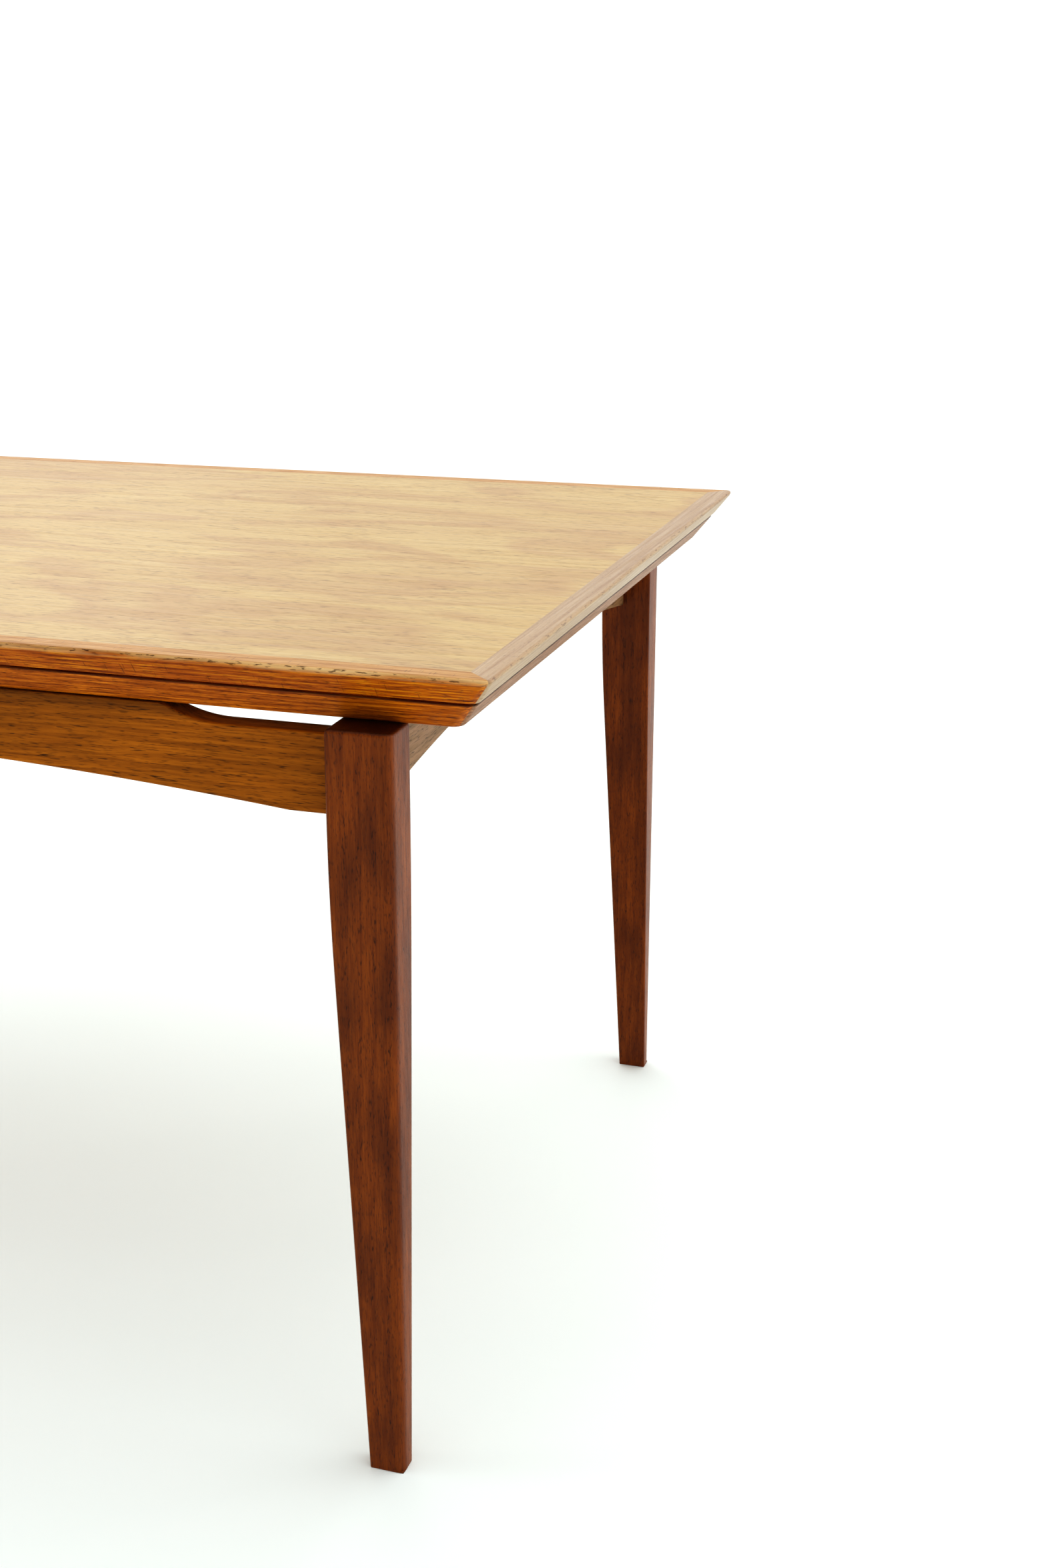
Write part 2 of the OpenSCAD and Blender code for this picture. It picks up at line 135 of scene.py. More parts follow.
def placeLights():
    world = bpy.data.worlds.new("studio")
    world.use_nodes = True
    tree = world.node_tree
    tree.nodes.clear()
    towards = add(tree, "TexCoord").outputs["Generated"]
    facing = add(tree, "VectorMath", {0: towards, 1: Vector(lightSetup["windowSide"]).normalized()},
                 operation="DOT_PRODUCT")
    level = add(tree, "MapRange", {
        "Value": facing, "From Min": -lightSetup["turnOver"], "From Max": lightSetup["turnOver"],
        "To Min": lightSetup["dim"], "To Max": lightSetup["bright"],
    }, interpolation_type="SMOOTHSTEP")
    seen = add(tree, "LightPath").outputs["Is Camera Ray"]
    strength = add(tree, "Mix", {0: seen, 2: level, 3: lightSetup["backdrop"]})
    background = add(tree, "Background", {"Color": (1, 1, 1, 1), "Strength": strength})
    add(tree, "OutputWorld", {"Surface": background})
    bpy.context.scene.world = world
    for name in ("softbox", "leftbox", "sidebox"):
        setup = lightSetup[name]
        data = bpy.data.lights.new(name, "AREA")
        data.size = setup["size"]
        data.energy = setup["watts"]
        light = bpy.data.objects.new(name, data)
        bpy.context.scene.collection.objects.link(light)
        light.location = setup["place"]
        away = Vector(setup["place"]) - Vector(setup["aim"])
        light.rotation_euler = away.to_track_quat("Z", "Y").to_euler()


def paleFloorPaint():
    # painted studio floor: nearly white, a little uneven, soft sheen
    material, tree = emptyMaterial("paleFloorPaint")
    coords = add(tree, "TexCoord").outputs["Object"]
    patches = add(tree, "TexNoise", {"Vector": coords, "Scale": floorSetup["patches"], "Detail": 4})
    tone = add(tree, "ValToRGB", {"Fac": patches},
               stops=[(0.3, linear(floorSetup["shade"])), (0.7, linear(floorSetup["pale"]))])
    shader = add(tree, "BsdfPrincipled", {
        "Base Color": tone, "Roughness": floorSetup["roughness"],
        "Emission Color": linear(floorSetup["pale"]), "Emission Strength": floorSetup["glow"],
    })
    add(tree, "OutputMaterial", {"Surface": shader})
    return material


def layFloor():
    bm = bmesh.new()
    bmesh.ops.create_circle(bm, cap_ends=True, segments=96, radius=floorSetup["radius"])
    mesh = bpy.data.meshes.new("floor")
    bm.to_mesh(mesh)
    bm.free()
    mesh.materials.append(paleFloorPaint())
    floor = bpy.data.objects.new("floor", mesh)
    bpy.context.scene.collection.objects.link(floor)


bpy.context.scene.view_settings.view_transform = "Standard"
bpy.context.scene.view_settings.look = "High Contrast"
placeCamera()
placeLights()
layFloor()
print("camera, light and floor placed")


# Turns each grain direction onto X, where the wood patterns run
grainTurn = {"X": (0, 0, 0), "Y": (0, 0, -math.pi / 2), "Z": (0, math.pi / 2, 0)}

# Teak, oiled. Pitches, widths and lengths are in mm; strengths run from 0 to 1.
teakBase = {
    "grain": "X",
    "lean": 0.6,  # degrees that the grain runs off the piece's length
    "light": "#C98A45", "mid": "#A9682E", "dark": "#74411C", "pore": "#3A1D0D",
    "heart": (0, 60, -90),  # where the tree's middle lies from the origin
    "ringPitch": 5.0, "ringStrength": 0.5,
    "wander": 10.0, "wanderLength": 420.0,  # how far the rings wander sideways, and over what length
    "streakWidth": 2.6, "streakLength": 110.0, "streakStrength": 0.45,
    "poreWidth": 0.7, "poreLength": 7.0, "poreStrength": 0.5,
    "mottle": "#74411C", "mottleStrength": 0.25, "mottleSize": (260.0, 45.0),
    "flame": None, "flameStrength": 0.5, "flameSize": (430.0, 105.0),
    "roughness": (0.34, 0.5),
    "specular": 0.3,
    "relief": 0.12,  # depth of the open pores
    "paleArrisHighlight": False,  # a paler tone shows on the upper arris: wear and painted highlight
    "marks": 0.0,  # dents and short cracks along the edge
    "rubbedHighlight": 0.0,  # bare patches along the upper arris: wear and painted highlight
    "dirtAndShade": False,  # dirt and painted shade in the seam under the main top
    "shadeUnderLeaf": 0.0,  # how much darker an apron is along its top, close under the leaf: painted shade
    "endGrainAndShade": 0.0,  # how much darker the sawn top of a leg is: darker end grain, and painted shade from the leaf above
}

teakFinishes = {
    # sliced veneer on the main top: pale honey with soft pinkish flames
    "teak_top_veneer": {
        "light": "#D2B87C", "mid": "#C6A668", "dark": "#A07C48", "pore": "#704420",
        "ringPitch": 13.0, "ringStrength": 0.24, "wander": 55.0, "wanderLength": 520.0,
        "heart": (0, 120, -560), "streakWidth": 1.8, "streakLength": 130.0, "streakStrength": 0.34,
        "poreWidth": 1.2, "poreLength": 12.0, "poreStrength": 0.75,
        "mottle": "#BC9860", "mottleStrength": 0.4, "mottleSize": (420.0, 90.0),
        "flame": "#B08254", "flameStrength": 0.48, "flameSize": (300.0, 120.0),
        "roughness": (0.36, 0.46), "specular": 0.5, "relief": 0.05,
    },
    # solid lipping, oiled amber, knocked along its upper arris and paler there from wear and painted
    # highlight
    "teak_top_lipping": {
        "light": "#E89C1C", "mid": "#C0680C", "dark": "#703008", "pore": "#3C1A08",
        "ringPitch": 6.5, "ringStrength": 0.34, "wander": 7.0, "wanderLength": 240.0,
        "streakWidth": 1.9, "streakLength": 42.0, "streakStrength": 0.75,
        "poreWidth": 0.9, "poreStrength": 0.8,
        "mottle": "#A04808", "mottleStrength": 0.4, "paleArrisHighlight": True, "marks": 0.85,
        "roughness": (0.3, 0.45), "rubbedHighlight": 0.8, "specular": 0.14,
    },
    # end band with its grain across the table: pinkish tan
    "teak_end_band": {
        "grain": "Y", "light": "#C0A47C", "mid": "#B08E68", "dark": "#886444", "pore": "#5A3620",
        "ringPitch": 7.0, "ringStrength": 0.3, "wander": 6.0, "streakStrength": 0.35,
        "mottle": "#987450", "poreStrength": 0.4, "roughness": (0.3, 0.42), "specular": 0.5, "marks": 0.5,
    },
    # veneer on the leaves and the centre board, redder than the main top
    "teak_leaf_veneer": {
        "light": "#CC9860", "mid": "#BC8048", "dark": "#905C30", "pore": "#5C3018",
        "ringPitch": 11.0, "ringStrength": 0.3, "wander": 45.0, "wanderLength": 480.0,
        "heart": (0, -90, -480), "streakStrength": 0.3, "poreStrength": 0.35,
        "mottle": "#A86C3E", "flame": "#98603A", "flameStrength": 0.45, "specular": 0.45, "relief": 0.06,
    },
    # solid lipping of the leaves: red-brown with short dark dashes
    "teak_leaf_lipping": {
        "light": "#E89024", "mid": "#B86410", "dark": "#703008", "pore": "#34150A",
        "ringPitch": 5.5, "ringStrength": 0.3, "wander": 6.0, "wanderLength": 240.0,
        "streakWidth": 1.9, "streakLength": 38.0, "streakStrength": 0.7,
        "poreWidth": 0.9, "poreStrength": 0.85,
        "mottle": "#A05018", "roughness": (0.3, 0.44), "dirtAndShade": True, "specular": 0.14,
    },
    # legs: darker red-brown, upright grain in short pores, with darker clouds
    "teak_legs": {
        "grain": "Z", "light": "#985010", "mid": "#7C3C0C", "dark": "#502408", "pore": "#2A1108",
        "ringPitch": 9.0, "ringStrength": 0.22, "wander": 9.0, "wanderLength": 380.0,
        "streakWidth": 1.5, "streakLength": 28.0, "streakStrength": 0.42,
        "poreWidth": 0.9, "poreLength": 6.0, "poreStrength": 0.85,
        "mottle": "#502008", "mottleStrength": 0.6, "mottleSize": (95.0, 26.0),
        "roughness": (0.28, 0.4), "specular": 0.22, "endGrainAndShade": 0.8,
    },
    # aprons: golden olive with rows of short dark dashes
    "teak_aprons": {
        "light": "#C47818", "mid": "#A46010", "dark": "#6C3C08", "pore": "#301A08",
        "ringPitch": 8.0, "ringStrength": 0.26, "wander": 9.0, "wanderLength": 260.0,
        "streakStrength": 0.5, "poreStrength": 0.9, "poreLength": 11.0, "poreWidth": 0.9,
        "streakLength": 70.0,
        "mottle": "#7C4808", "mottleStrength": 0.4, "mottleSize": (150.0, 22.0),
        "roughness": (0.36, 0.5), "specular": 0.14, "shadeUnderLeaf": 0.45,
    },
    # board core, seen from below: dull backing veneer
    "core_board": {
        "light": "#A5764A", "mid": "#936540", "dark": "#7A5234", "ringPitch": 16.0,
        "ringStrength": 0.3, "wander": 50.0, "streakStrength": 0.35, "poreStrength": 0.4,
        "roughness": (0.55, 0.7), "specular": 0.3,
    },
}

# tones that differ on some pieces or places: the end aprons and the leaves' ends are greyer, painted sheen
# where they face the bright side; the upper arris is paler, from wear and painted highlight
endApronSheenTones = {"light": "#AC8460", "mid": "#90704E", "dark": "#604830", "mottle": "#806448"}
leafEndSheenTones = {"light": "#B98658", "mid": "#9C6A40", "dark": "#6E4426", "mottle": "#8A5C38"}
paleArrisHighlightTones = {"light": "#DEB87C", "mid": "#CA9E60", "dark": "#9C6C3C", "mottle": "#C09058"}

# Wear and painted highlight along the top's upper arris. Depths below the top's face and sizes are in mm.
arrisWearAndSheen = {
    "paleDepths": (3.4, 0.7), "paleAmount": 0.92,  # where the paler tone starts and where it is whole
    "raggedness": 0.8, "raggedSize": (60, 9),  # how far its edge wanders up and down
    "rimDepths": (6.0, 2.0), "faceDepths": (0.6, 0.1),  # the rim fades in, and out again at the flat face
    # the bright rubbed patches are bare wood and painted highlight
    "rubbedHighlightTone": "#F0CE98", "rubbedHighlightSize": (150, 14),
    "dentSize": (9, 1.8),
    "crackSize": (1.3, 22), "crackAmount": 0.6,
}

# Dirt and painted shade on the leaves' edges under the seam, and the darker tops of the aprons and legs
# (painted shade, with darker end grain on the legs), in mm
seamShadeSpan = {"depths": (2.6, 0.9), "faceDepths": (0.25, 0.05), "amount": 0.8}
topShadeReach = {"apron": 16.0, "leg": 3.0, "fullFrom": 0.3}

porePattern = {"least": 0.4, "byRings": 0.6}  # share of pores everywhere, and share that follows the rings
woodBump = {"streaks": 0.35, "strength": 0.8}


def cellScale(lengthMm, widthMm):
    # scale of a pattern with cells this long along the grain and this wide across it
    return 1000 / lengthMm, 1000 / widthMm, 1000 / widthMm


def grainNoise(tree, wood, size, stops, **inputs):
    # noise drawn out along the grain, shaped by a ramp
    drawnOut = add(tree, "Mapping", {"Vector": wood, "Scale": cellScale(*size)})
    made = add(tree, "TexNoise", {"Vector": drawnOut, "Scale": 1, **inputs})
    return add(tree, "ValToRGB", {"Fac": made}, stops=stops)


def woodTone(tree, depth, tones):
    # early wood, heart and late wood in one ramp
    return add(tree, "ValToRGB", {"Fac": depth}, stops=[
        (0.0, linear(tones["light"])), (1.0, linear(tones["dark"])), (0.45, linear(tones["mid"])),
    ])


def growthRings(tree, wood, look):
    # each ring darkens slowly and ends in a sharp line; rings wander along the grain
    drawnOut = add(tree, "Mapping", {
        "Vector": wood, "Scale": cellScale(look["wanderLength"], look["wanderLength"] / 5),
    })
    slow = add(tree, "TexNoise", {"Vector": drawnOut, "Scale": 1, "Detail": 2.5, "Roughness": 0.45})
    centred = add(tree, "VectorMath", {0: slow.outputs["Color"], 1: (0.5, 0.5, 0.5)}, operation="SUBTRACT")
    sideways = 2 * look["wander"] * mm
    shift = add(tree, "VectorMath", {0: centred, 1: (0, sideways, sideways)}, operation="MULTIPLY")
    wandering = add(tree, "VectorMath", {0: wood, 1: shift}, operation="ADD")
    # rings are far longer than they are wide, so distance along the grain counts for little
    fromHeart = add(tree, "Mapping", {
        "Vector": wandering, "Location": [-v * mm for v in look["heart"]], "Scale": (0.02, 1, 1),
    })
    radius = add(tree, "VectorMath", {0: fromHeart}, operation="LENGTH")
    count = add(tree, "Math", {0: radius, 1: 1000 / look["ringPitch"]}, operation="MULTIPLY")
    ring = add(tree, "Math", {0: count}, operation="FRACT")
    return add(tree, "ValToRGB", {"Fac": ring}, stops=[
        (0.0, 0.55), (1.0, 1.0), (0.1, 0.05), (0.55, 0.3), (0.9, 0.85),
    ])


def wornArrisAndHighlight(tree, height, wood, look, depth, tone):
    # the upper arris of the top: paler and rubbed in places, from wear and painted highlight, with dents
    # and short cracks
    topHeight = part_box("top_lipping_front")[1].z
    if look["paleArrisHighlight"]:
        uneven = grainNoise(tree, wood, arrisWearAndSheen["raggedSize"], [(0.3, 0.0), (0.7, 1.0)], Detail=3)
        raggedness = arrisWearAndSheen["raggedness"] * mm
        ragged = add(tree, "Math", {0: uneven, 1: 2 * raggedness, 2: -raggedness},
                     operation="MULTIPLY_ADD")
        paleHeight = add(tree, "Math", {0: height, 1: ragged}, operation="ADD")
        start, whole = arrisWearAndSheen["paleDepths"]
        pale = add(tree, "MapRange", {
            "Value": paleHeight, "From Min": topHeight - start * mm, "From Max": topHeight - whole * mm,
            "To Max": arrisWearAndSheen["paleAmount"],
        }, interpolation_type="SMOOTHSTEP")
        palerHighlightTone = add(tree, "Mix", {
            0: look["mottleStrength"], 6: woodTone(tree, depth, paleArrisHighlightTones),
            7: linear(paleArrisHighlightTones["mottle"]),
        }, data_type="RGBA")
        tone = add(tree, "Mix", {0: pale, 6: tone, 7: palerHighlightTone}, data_type="RGBA")
    start, whole = arrisWearAndSheen["rimDepths"]
    side = add(tree, "MapRange", {"Value": height, "From Min": topHeight - start * mm,
                                  "From Max": topHeight - whole * mm})
    start, whole = arrisWearAndSheen["faceDepths"]
    face = add(tree, "MapRange", {"Value": height, "From Min": topHeight - start * mm,
                                  "From Max": topHeight - whole * mm, "To Min": 1, "To Max": 0})
    rim = add(tree, "Math", {0: side, 1: face}, operation="MULTIPLY")
    patches = grainNoise(tree, wood, arrisWearAndSheen["rubbedHighlightSize"], [(0.46, 0.0), (0.62, 1.0)], Detail=3)
    bareAndHighlight = add(tree, "Math", {0: patches, 1: rim}, operation="MULTIPLY")
    bareAndHighlight = add(tree, "Math", {0: bareAndHighlight, 1: look["rubbedHighlight"]}, operation="MULTIPLY")
    tone = add(tree, "Mix", {0: bareAndHighlight, 6: tone, 7: linear(arrisWearAndSheen["rubbedHighlightTone"])}, data_type="RGBA")
    dents = grainNoise(tree, wood, arrisWearAndSheen["dentSize"], [(0.58, 0.0), (0.64, 1.0)], Detail=4)
    dents = add(tree, "Math", {0: dents, 1: rim}, operation="MULTIPLY")
    cracks = grainNoise(tree, wood, arrisWearAndSheen["crackSize"], [(0.71, 0.0), (0.76, 1.0)], Detail=1)
    cracks = add(tree, "Math", {0: cracks, 1: arrisWearAndSheen["crackAmount"]}, operation="MULTIPLY")
    knocks = add(tree, "Math", {0: dents, 1: cracks}, operation="MAXIMUM")
    knocks = add(tree, "Math", {0: knocks, 1: look["marks"]}, operation="MULTIPLY")
    return add(tree, "Mix", {0: knocks, 6: tone, 7: linear(look["pore"])}, data_type="RGBA")


def seamShadeAndDirt(tree, height, tone, look):
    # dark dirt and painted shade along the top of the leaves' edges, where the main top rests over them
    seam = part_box("leaf_right_lipping_front")[1].z
    start, whole = seamShadeSpan["depths"]
    near = add(tree, "MapRange", {"Value": height, "From Min": seam - start * mm,
                                  "From Max": seam - whole * mm}, interpolation_type="SMOOTHSTEP")
    # none lies on the flat upper face, which the main top covers
    start, whole = seamShadeSpan["faceDepths"]
    face = add(tree, "MapRange", {
        "Value": height, "From Min": seam - start * mm, "From Max": seam - whole * mm,
        "To Min": seamShadeSpan["amount"], "To Max": 0,
    })
    darkSeam = add(tree, "Math", {0: near, 1: face}, operation="MULTIPLY")
    return add(tree, "Mix", {0: darkSeam, 6: tone, 7: linear(look["pore"])}, data_type="RGBA")


def paintedTopShade(tree, height, tone, look, node, reach, amount):
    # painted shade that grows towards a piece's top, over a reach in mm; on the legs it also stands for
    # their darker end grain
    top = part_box(node)[1].z
    near = add(tree, "MapRange", {
        "Value": height, "From Min": top - reach * mm, "From Max": top - topShadeReach["fullFrom"] * mm,
        "To Min": 0, "To Max": amount,
    }, interpolation_type="SMOOTHSTEP")
    return add(tree, "Mix", {0: near, 6: tone, 7: linear(look["pore"])}, data_type="RGBA")


def oiledTeak(name, look, grain=None):
    # oiled teak: soft rings and streaks under rows of short dark pores, with a satin gloss
    look = {**teakBase, **look}
    material, tree = emptyMaterial(name)
    coords = add(tree, "TexCoord").outputs["Object"]
    height = add(tree, "SeparateXYZ", {"Vector": coords}).outputs["Z"]
    turned = add(tree, "Mapping", {"Vector": coords, "Rotation": grainTurn[grain or look["grain"]]})
    wood = add(tree, "Mapping", {"Vector": turned, "Rotation": (0, 0, math.radians(look["lean"]))})

    rings = growthRings(tree, wood, look)
    drawnOut = add(tree, "Mapping", {
        "Vector": wood, "Scale": cellScale(look["streakLength"], look["streakWidth"]),
    })
    streaks = add(tree, "TexNoise", {"Vector": drawnOut, "Scale": 1, "Detail": 3, "Roughness": 0.6})
    streakLines = add(tree, "ValToRGB", {"Fac": streaks}, stops=[(0.34, 0.0), (0.68, 1.0)])
    fromRings = add(tree, "Math", {0: rings, 1: look["ringStrength"]}, operation="MULTIPLY")
    fromStreaks = add(tree, "Math", {0: streakLines, 1: look["streakStrength"]}, operation="MULTIPLY")
    depth = add(tree, "Math", {0: fromRings, 1: fromStreaks}, operation="ADD")
    tone = woodTone(tree, depth, look)

    # broad cloudiness along the board
    clouds = grainNoise(tree, wood, look["mottleSize"], [(0.38, 0.0), (0.66, 1.0)], Detail=3)
    clouds = add(tree, "Math", {0: clouds, 1: look["mottleStrength"]}, operation="MULTIPLY")
    tone = add(tree, "Mix", {0: clouds, 6: tone, 7: linear(look["mottle"])}, data_type="RGBA")

    # flames: long tongues, sharp along one side and fading into the board
    if look["flame"]:
        flames = grainNoise(tree, wood, look["flameSize"], [
            (0.47, 0.0), (0.86, 0.0), (0.56, 1.0), (0.62, 0.45), (0.7, 0.15),
        ], Detail=2, Distortion=1.1)
        flames = add(tree, "Math", {0: flames, 1: look["flameStrength"]}, operation="MULTIPLY")
        tone = add(tree, "Mix", {0: flames, 6: tone, 7: linear(look["flame"])}, data_type="RGBA")

    # open pores lie thickest along the rings; drawn wider than life so that they show
    poreSize = (look["poreLength"], look["poreWidth"])
    pores = grainNoise(tree, wood, poreSize, [(0.57, 0.0), (0.7, 1.0)], Detail=1)
    crowding = add(tree, "Math", {0: rings, 1: porePattern["byRings"], 2: porePattern["least"]},
                   operation="MULTIPLY_ADD")
    darkPores = add(tree, "Math", {0: pores, 1: crowding}, operation="MULTIPLY")
    darkPores = add(tree, "Math", {0: darkPores, 1: look["poreStrength"]}, operation="MULTIPLY")
    tone = add(tree, "Mix", {0: darkPores, 6: tone, 7: linear(look["pore"])}, data_type="RGBA")

    if look["marks"]:
        tone = wornArrisAndHighlight(tree, height, wood, look, depth, tone)
    if look["dirtAndShade"]:
        tone = seamShadeAndDirt(tree, height, tone, look)
    # the aprons' tops get painted shade under the leaf; the legs' sawn tops get darker end grain and
    # painted shade
    if look["shadeUnderLeaf"]:
        tone = paintedTopShade(tree, height, tone, look, "side_apron_front", topShadeReach["apron"],
                         look["shadeUnderLeaf"])
    if look["endGrainAndShade"]:
        tone = paintedTopShade(tree, height, tone, look, "leg_front_right", topShadeReach["leg"],
                         look["endGrainAndShade"])

    low, high = look["roughness"]
    gloss = add(tree, "MapRange", {"Value": streaks, "From Min": 0.3, "From Max": 0.7,
                                   "To Min": low, "To Max": high})
    raised = add(tree, "Math", {0: streaks, 1: woodBump["streaks"]}, operation="MULTIPLY")
    raised = add(tree, "Math", {0: raised, 1: pores}, operation="SUBTRACT")
    bump = add(tree, "Bump", {"Height": raised, "Distance": look["relief"] * mm,
                              "Strength": woodBump["strength"]})
    shader = add(tree, "BsdfPrincipled", {
        "Base Color": tone, "Roughness": gloss, "Specular IOR Level": look["specular"], "Normal": bump,
    })
    add(tree, "OutputMaterial", {"Surface": shader})
    return material


beechLook = {
    "light": "#D9B98C", "dark": "#BC9566", "bandSize": (240, 6),
    "fleck": "#9C7448", "fleckSize": (3.2, 0.9), "fleckStrength": 0.6,
    "roughness": 0.5, "relief": 0.05,
}


def waxedBeech(name, grain):
    # waxed beech: pale, even, with the short brown ray flecks that mark it
    material, tree = emptyMaterial(name)
    coords = add(tree, "TexCoord").outputs["Object"]
    wood = add(tree, "Mapping", {"Vector": coords, "Rotation": grainTurn[grain]})
    drawnOut = add(tree, "Mapping", {"Vector": wood, "Scale": cellScale(*beechLook["bandSize"])})
    bands = add(tree, "TexNoise", {"Vector": drawnOut, "Scale": 1, "Detail": 3})
    tone = add(tree, "ValToRGB", {"Fac": bands},
               stops=[(0.3, linear(beechLook["light"])), (0.7, linear(beechLook["dark"]))])
    short = add(tree, "Mapping", {"Vector": wood, "Scale": cellScale(*beechLook["fleckSize"])})
    rays = add(tree, "TexVoronoi", {"Vector": short, "Scale": 1})
    flecks = add(tree, "ValToRGB", {"Fac": rays}, stops=[(0.08, 1.0), (0.2, 0.0)])
    flecks = add(tree, "Math", {0: flecks, 1: beechLook["fleckStrength"]}, operation="MULTIPLY")
    tone = add(tree, "Mix", {0: flecks, 6: tone, 7: linear(beechLook["fleck"])}, data_type="RGBA")
    bump = add(tree, "Bump", {"Height": bands, "Distance": beechLook["relief"] * mm, "Strength": 0.6})
    shader = add(tree, "BsdfPrincipled", {
        "Base Color": tone, "Roughness": beechLook["roughness"], "Normal": bump,
    })
    add(tree, "OutputMaterial", {"Surface": shader})
    return material


steelLook = {
    "clean": "#A8A7A2", "spot": "#6E655A", "markSize": 0.6, "spotSize": 4.0, "roughness": (0.3, 0.55),
}


def turnedSteel():
    # plain wood-screw steel: dull grey with fine turning marks and a few dark spots
    material, tree = emptyMaterial("turnedSteel")
    coords = add(tree, "TexCoord").outputs["Object"]
    marks = add(tree, "TexNoise", {"Vector": coords, "Scale": 1000 / steelLook["markSize"], "Detail": 2})
    spots = add(tree, "TexNoise", {"Vector": coords, "Scale": 1000 / steelLook["spotSize"], "Detail": 4})
    tone = add(tree, "ValToRGB", {"Fac": spots},
               stops=[(0.4, linear(steelLook["clean"])), (0.7, linear(steelLook["spot"]))])
    low, high = steelLook["roughness"]
    gloss = add(tree, "MapRange", {"Value": marks, "To Min": low, "To Max": high})
    shader = add(tree, "BsdfPrincipled", {"Base Color": tone, "Roughness": gloss, "Metallic": 1.0})
    add(tree, "OutputMaterial", {"Surface": shader})
    return material


feltLook = {"dark": "#26402A", "pale": "#4C6A4A", "fibreSize": 1.2, "roughness": 0.95, "relief": 0.3}


def woolFelt():
    # pressed wool felt: matt, mottled by fibres in every direction
    material, tree = emptyMaterial("woolFelt")
    coords = add(tree, "TexCoord").outputs["Object"]
    fibres = add(tree, "TexNoise", {
        "Vector": coords, "Scale": 1000 / feltLook["fibreSize"], "Detail": 5, "Distortion": 1.5,
    })
    tone = add(tree, "ValToRGB", {"Fac": fibres},
               stops=[(0.3, linear(feltLook["dark"])), (0.7, linear(feltLook["pale"]))])
    bump = add(tree, "Bump", {"Height": fibres, "Distance": feltLook["relief"] * mm, "Strength": 1.0})
    shader = add(tree, "BsdfPrincipled", {
        "Base Color": tone, "Roughness": feltLook["roughness"], "Normal": bump,
    })
    add(tree, "OutputMaterial", {"Surface": shader})
    return material


finishes = {name: oiledTeak(name, look) for name, look in teakFinishes.items()}
# the end aprons take a greyer copy of the apron teak: painted sheen
endApronSheenLook = {**teakFinishes["teak_aprons"], **endApronSheenTones}
# the leaves' ends take a greyer copy of the leaf-lipping teak: painted sheen
leafEndSheenLook = {**teakFinishes["teak_leaf_lipping"], **leafEndSheenTones}
finishes["end_aprons"] = oiledTeak("teak_end_aprons_sheen", endApronSheenLook, "Y")
finishes["leaf_ends"] = oiledTeak("teak_leaf_ends_sheen", leafEndSheenLook, "Y")
finishes["beech_long"] = waxedBeech("beech_long", "X")
finishes["beech_across"] = waxedBeech("beech_across", "Y")
finishes["beech_upright"] = waxedBeech("beech_upright", "Z")
finishes["screw_steel"] = turnedSteel()
finishes["felt"] = woolFelt()


def finishFor(node):
    if node.startswith("end_apron"):
        return finishes["end_aprons"]
    if node.startswith("leaf") and ("end_band" in node or "inner" in node):
        return finishes["leaf_ends"]
    if slots[node] == "beech":
        if "peg" in node:
            return finishes["beech_upright"]
        return finishes["beech_across" if "rail" in node else "beech_long"]
    return finishes[slots[node]]


print("finishes made:", len(finishes))


# the last is in degrees, the others in mm
tolerance = {"samePlace": 0.01, "sameHeight": 0.05, "touching": 0.001, "onPlane": 0.0001, "level": 0.05}
pieceEdges = {"sharpTurn": 32, "bevelSegments": 3}  # an edge that turns more degrees is left sharp


def nodeCopy(node):
    # an editable copy of a CAD node: its triangles merged and its flats made whole
    bm = bmesh.new()
    bm.from_mesh(frame["nodes"][node].data)
    bmesh.ops.remove_doubles(bm, verts=bm.verts, dist=tolerance["samePlace"] * mm)
    flat = math.radians(tolerance["level"])
    bmesh.ops.dissolve_limit(bm, angle_limit=flat, verts=bm.verts, edges=bm.edges)
    return bm


def spanAt(node, height):
    # box of a CAD node's corners at one height
    near = tolerance["sameHeight"] * mm
    points = [v.co for v in frame["nodes"][node].data.vertices if abs(v.co.z - height) < near]
    low = Vector([min(p[i] for p in points) for i in range(3)])
    high = Vector([max(p[i] for p in points) for i in range(3)])
    return low, high


def turnOf(edge):
    # angle between the two faces of an edge, 0 where they are level
    return edge.calc_face_angle(0.0) if len(edge.link_faces) == 2 else 0.0


def roundEdges(bm, edges, radius, segments=4):
    # bevels edges to a true radius, whatever angle their faces meet at
    edges = list(edges)
    offset = radius * math.tan(turnOf(edges[0]) / 2)
    bmesh.ops.bevel(bm, geom=edges, offset=offset, offset_type="OFFSET", affect="EDGES",
                    segments=segments, profile=0.5, material=-1, clamp_overlap=False)


def makePiece(name, bm, nodes, rounding=None):
    # rounding(edge) gives the radius in mm of each edge that a live bevel rounds
    weights = bm.edges.layers.float.new("bevel_weight_edge")
    radii = {edge: rounding(edge) if rounding else 0 for edge in bm.edges}
    widest = max(radii.values(), default=0)
    for edge, radius in radii.items():
        edge[weights] = radius / widest if widest else 0
    for face in bm.faces:
        face.smooth = True
    for edge in bm.edges:
        edge.smooth = bool(radii[edge]) or turnOf(edge) < math.radians(pieceEdges["sharpTurn"])
    mesh = bpy.data.meshes.new(name)
    bm.to_mesh(mesh)
    bm.free()
    mesh.materials.append(finishFor(nodes[0]))
    piece = bpy.data.objects.new(name, mesh)
    bpy.context.scene.collection.objects.link(piece)
    if widest:
        bevel = piece.modifiers.new("softEdges", "BEVEL")
        bevel.limit_method = "WEIGHT"
        bevel.width = widest * mm
        bevel.segments = pieceEdges["bevelSegments"]
        bevel.use_clamp_overlap = False
    weighted = piece.modifiers.new("flatShading", "WEIGHTED_NORMAL")
    weighted.keep_sharp = True
    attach(piece, bodies[nodes[0]])
    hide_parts(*nodes)
    return piece


